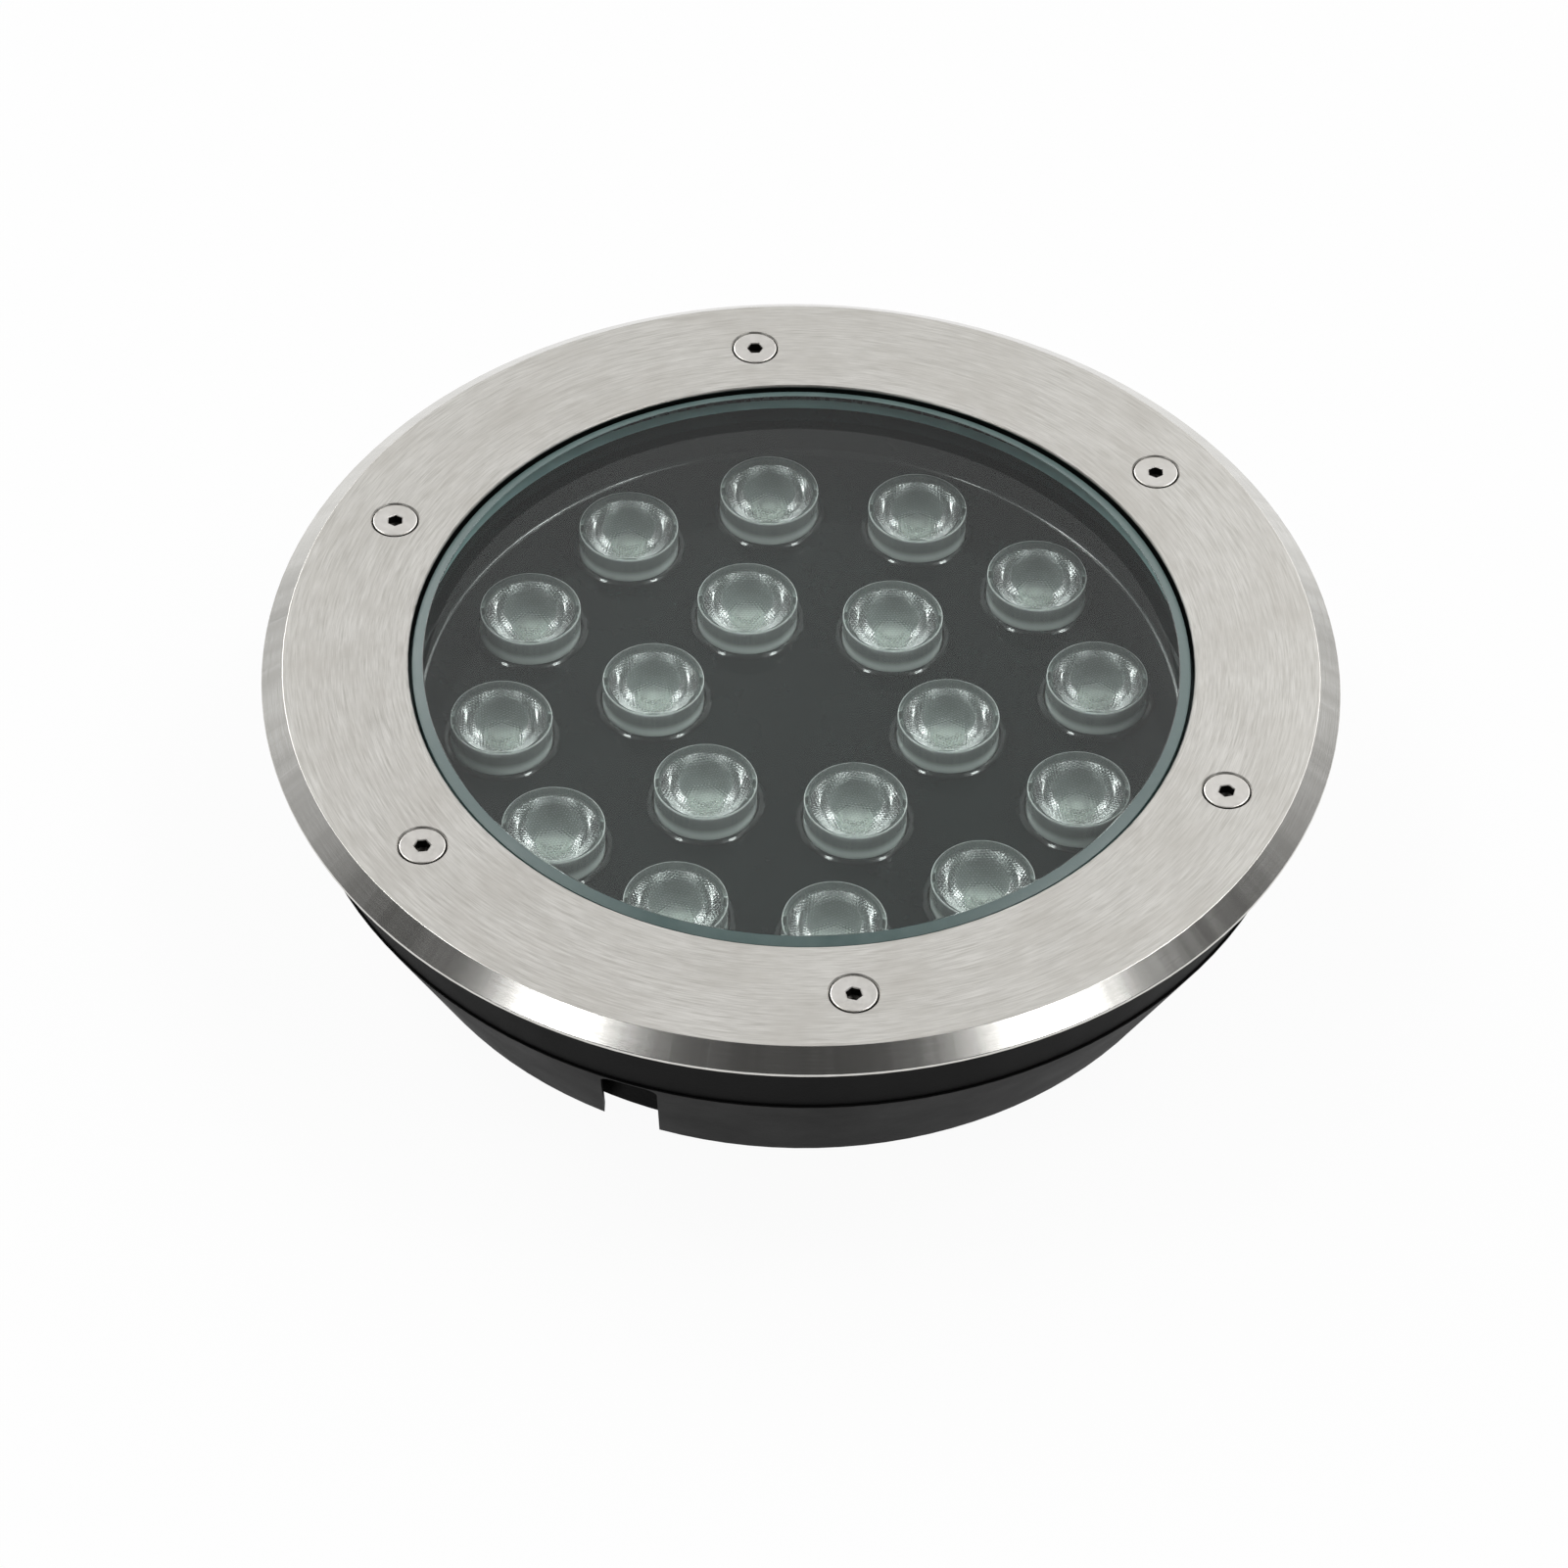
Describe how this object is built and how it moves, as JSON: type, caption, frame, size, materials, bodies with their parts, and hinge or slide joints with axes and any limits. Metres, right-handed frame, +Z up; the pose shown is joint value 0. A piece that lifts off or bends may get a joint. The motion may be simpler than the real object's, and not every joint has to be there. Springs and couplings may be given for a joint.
{
  "type": "in ground well light",
  "caption": "Round recessed ground light: stainless face ring and thick flush glass over a black tray of clear lenses, in a cast cup that hangs in a black ground sleeve.",
  "frame": {"origin": "on the ground plane under the ring's centre, at the foot of the ground sleeve", "axes": "+Z up out of the ground through the middle of the ring; -Y towards the viewer of the picture, with the front cable notch on that side; +X to the viewer's right"},
  "size_m": [0.23, 0.23, 0.054],
  "materials": {
    "brushed_stainless": "circumferential brushing, satin",
    "screw_steel": "fine satin",
    "tempered_glass": "polished, slightly green",
    "grey_silicone": "matt",
    "black_sleeve_plastic": "fine matt moulding",
    "black_painted_casting": "matt powder coat",
    "black_tray_plastic": "semi-gloss",
    "clear_lens": "clear moulding, fine facets in the dish",
    "white_holder_plastic": "matt",
    "diode_phosphor": "clear dome over phosphor",
    "white_board": "white solder mask",
    "thermal_pad_rubber": "matt",
    "heat_plate_aluminium": "mill finish",
    "driver_plastic": "fine matt moulding",
    "green_board": "solder mask",
    "transformer_tape": "wound tape",
    "capacitor_sleeve": "shrunk sleeve",
    "brass_screw": "bright",
    "lead_insulation": "smooth",
    "nickel_brass": "bright nickel plate",
    "black_rubber": "matt"
  },
  "bodies": {
    "ground_sleeve": {"mounting_sleeve": "black_sleeve_plastic"},
    "luminaire": {"housing": "black_painted_casting", "glass": "tempered_glass", "lower_gasket": "grey_silicone", "lens_tray": "black_tray_plastic", "outer_lens_01": "clear_lens", "outer_lens_02": "clear_lens", "outer_lens_03": "clear_lens", "outer_lens_04": "clear_lens", "outer_lens_05": "clear_lens", "outer_lens_06": "clear_lens", "outer_lens_07": "clear_lens", "outer_lens_08": "clear_lens", "outer_lens_09": "clear_lens", "outer_lens_10": "clear_lens", "outer_lens_11": "clear_lens", "outer_lens_12": "clear_lens", "inner_lens_01": "clear_lens", "inner_lens_02": "clear_lens", "inner_lens_03": "clear_lens", "inner_lens_04": "clear_lens", "inner_lens_05": "clear_lens", "inner_lens_06": "clear_lens", "lens_holders": "white_holder_plastic", "light_diodes": "diode_phosphor", "led_board": "white_board", "board_connector": "white_holder_plastic", "board_screws": "screw_steel", "thermal_pad": "thermal_pad_rubber", "heat_plate": "heat_plate_aluminium", "heat_plate_screws": "screw_steel", "driver_case": "driver_plastic", "driver_lid": "driver_plastic", "driver_board": "green_board", "driver_transformer": "transformer_tape", "driver_capacitors": "capacitor_sleeve", "driver_screws": "screw_steel", "terminal_block": "white_holder_plastic", "terminal_screws": "brass_screw", "input_leads": "lead_insulation", "output_leads": "lead_insulation", "gland_body": "nickel_brass", "gland_washer": "black_rubber", "gland_seal": "black_rubber", "gland_nut": "nickel_brass"},
    "cover": {"face_ring": "brushed_stainless", "face_screws": "screw_steel", "upper_gasket": "grey_silicone"}
  },
  "joints": [
    {"name": "light_lift", "type": "slide", "parent": "ground_sleeve", "child": "luminaire", "axis": [0, 0, 1], "range_m": [0, 0.08]},
    {"name": "cover_lift", "type": "slide", "parent": "luminaire", "child": "cover", "axis": [0, 0, 1], "range_m": [0, 0.03]}
  ]
}
